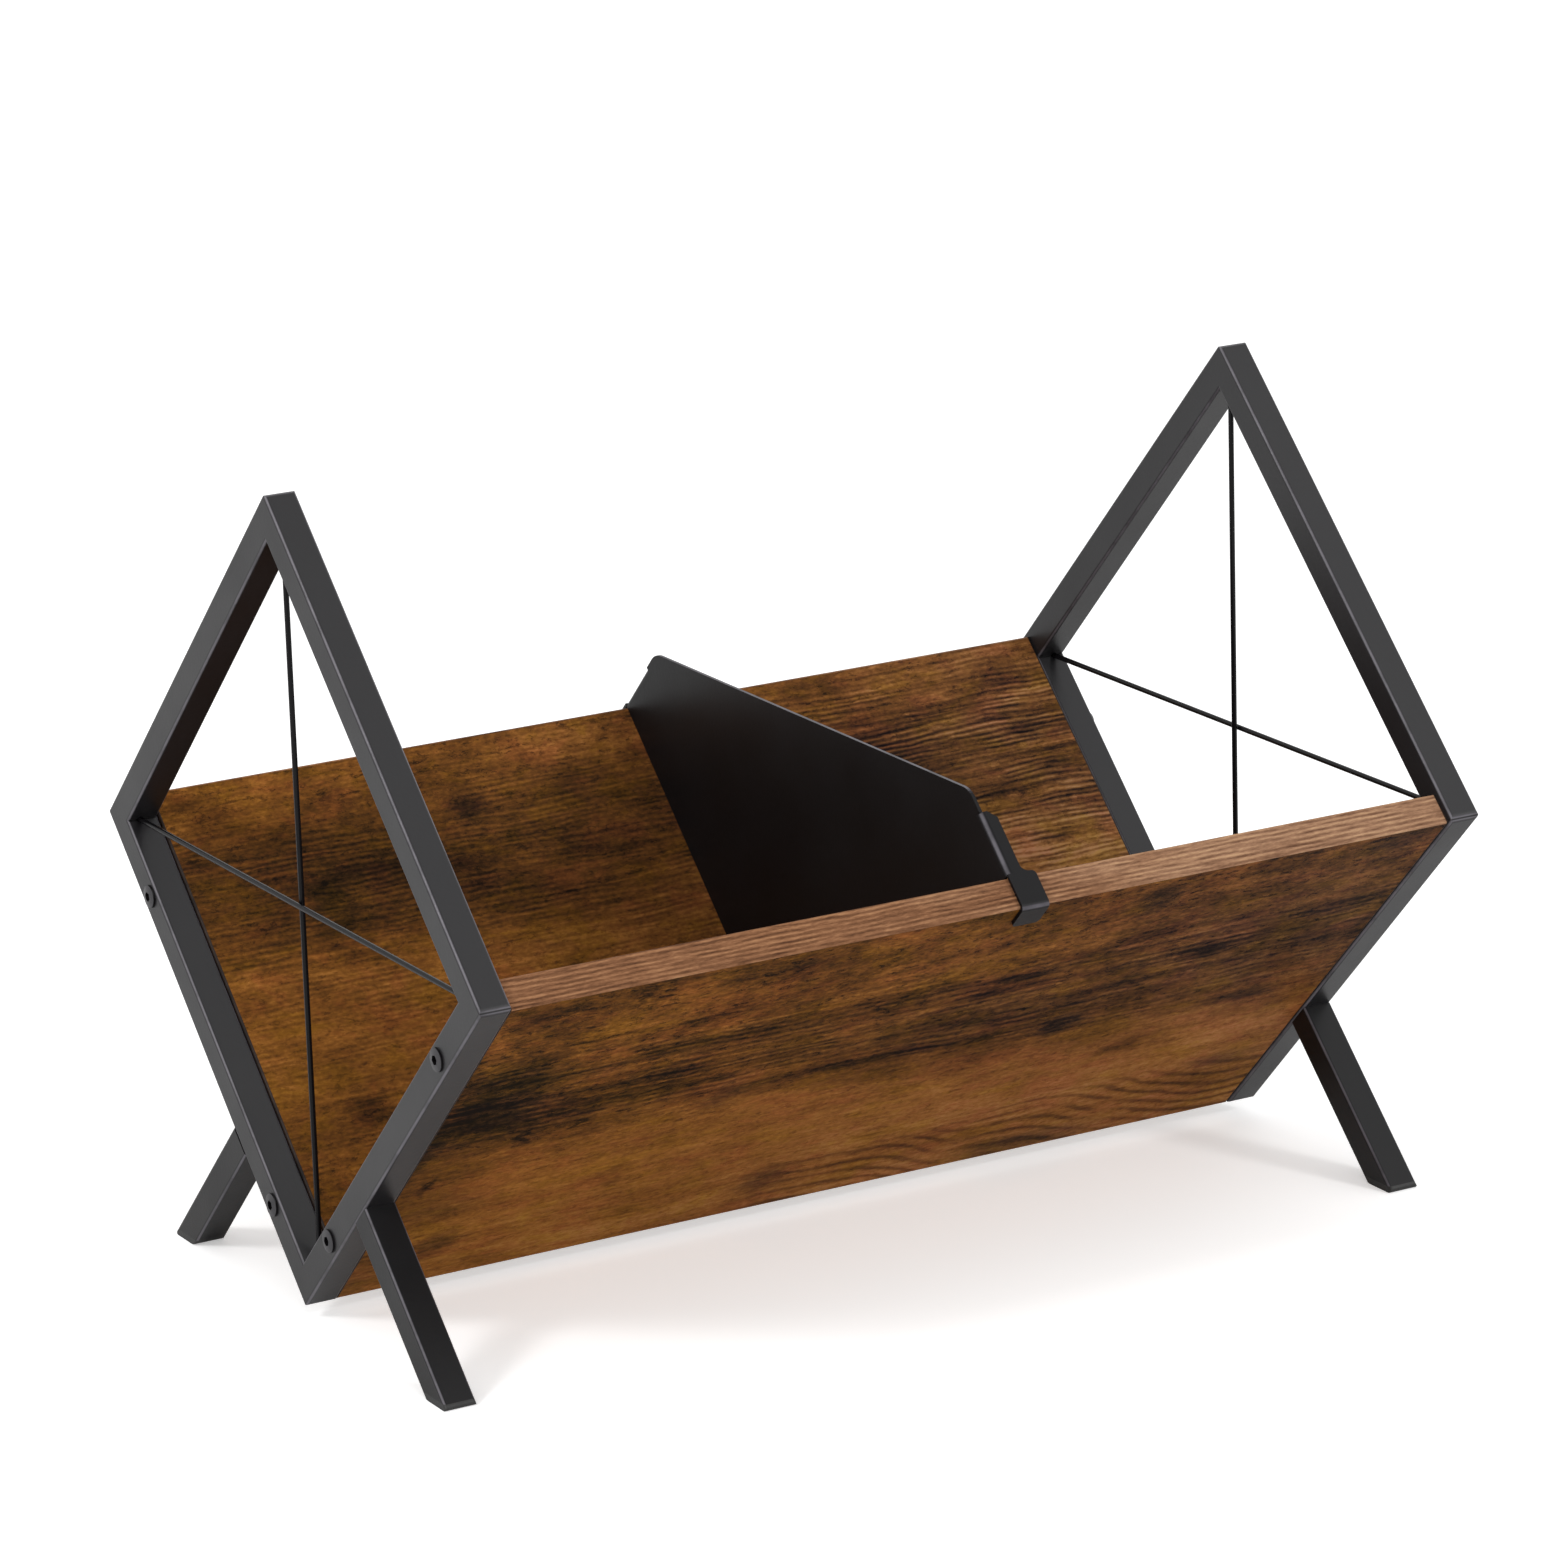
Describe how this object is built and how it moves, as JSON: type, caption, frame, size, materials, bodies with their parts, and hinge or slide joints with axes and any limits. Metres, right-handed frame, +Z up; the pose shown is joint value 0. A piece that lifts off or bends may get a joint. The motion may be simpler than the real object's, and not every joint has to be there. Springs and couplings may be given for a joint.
{
  "type": "record storage stand",
  "caption": "Tabletop stand for records: two square tube end frames on their corner, a V of two wood boards between them, splayed legs and a sliding divider.",
  "frame": {"origin": "on the floor, at the middle of the footprint, under the middle of the V", "axes": "+X along the boards towards the right end frame, +Y towards the rear, +Z up"},
  "size_m": [0.503, 0.3652, 0.3721],
  "materials": {
    "frame_steel": "satin black powder coat with a fine texture",
    "board_wood": "rustic brown wood-grain laminate, satin",
    "edge_band": "tan wood-grain edge banding, satin",
    "end_band": "dark brown edge banding",
    "screw_steel": "black oxide",
    "insert_zinc": "zinc-plated threaded insert",
    "plug_plastic": "black polyethylene",
    "divider_steel": "satin black powder coat"
  },
  "bodies": {
    "stand": {"left_upper_front_tube": "frame_steel", "left_upper_rear_tube": "frame_steel", "left_lower_front_tube": "frame_steel", "left_lower_rear_tube": "frame_steel", "left_front_leg": "frame_steel", "left_rear_leg": "frame_steel", "left_vertical_rod": "frame_steel", "left_horizontal_rod": "frame_steel", "left_front_foot_plug": "plug_plastic", "left_rear_foot_plug": "plug_plastic", "right_upper_front_tube": "frame_steel", "right_upper_rear_tube": "frame_steel", "right_lower_front_tube": "frame_steel", "right_lower_rear_tube": "frame_steel", "right_front_leg": "frame_steel", "right_rear_leg": "frame_steel", "right_vertical_rod": "frame_steel", "right_horizontal_rod": "frame_steel", "right_front_foot_plug": "plug_plastic", "right_rear_foot_plug": "plug_plastic", "front_board": "board_wood", "front_board_top_band": "edge_band", "front_board_bottom_band": "edge_band", "front_board_left_end_band": "end_band", "front_board_right_end_band": "end_band", "rear_board": "board_wood", "rear_board_top_band": "edge_band", "rear_board_bottom_band": "edge_band", "rear_board_left_end_band": "end_band", "rear_board_right_end_band": "end_band", "left_frame_screws": "screw_steel", "right_frame_screws": "screw_steel", "front_board_inserts": "insert_zinc", "rear_board_inserts": "insert_zinc"},
    "divider": {"divider": "divider_steel"}
  },
  "joints": [
    {"name": "divider_slide", "type": "slide", "parent": "stand", "child": "divider", "axis": [1, 0, 0], "range_m": [-0.2455, 0.2085]}
  ]
}
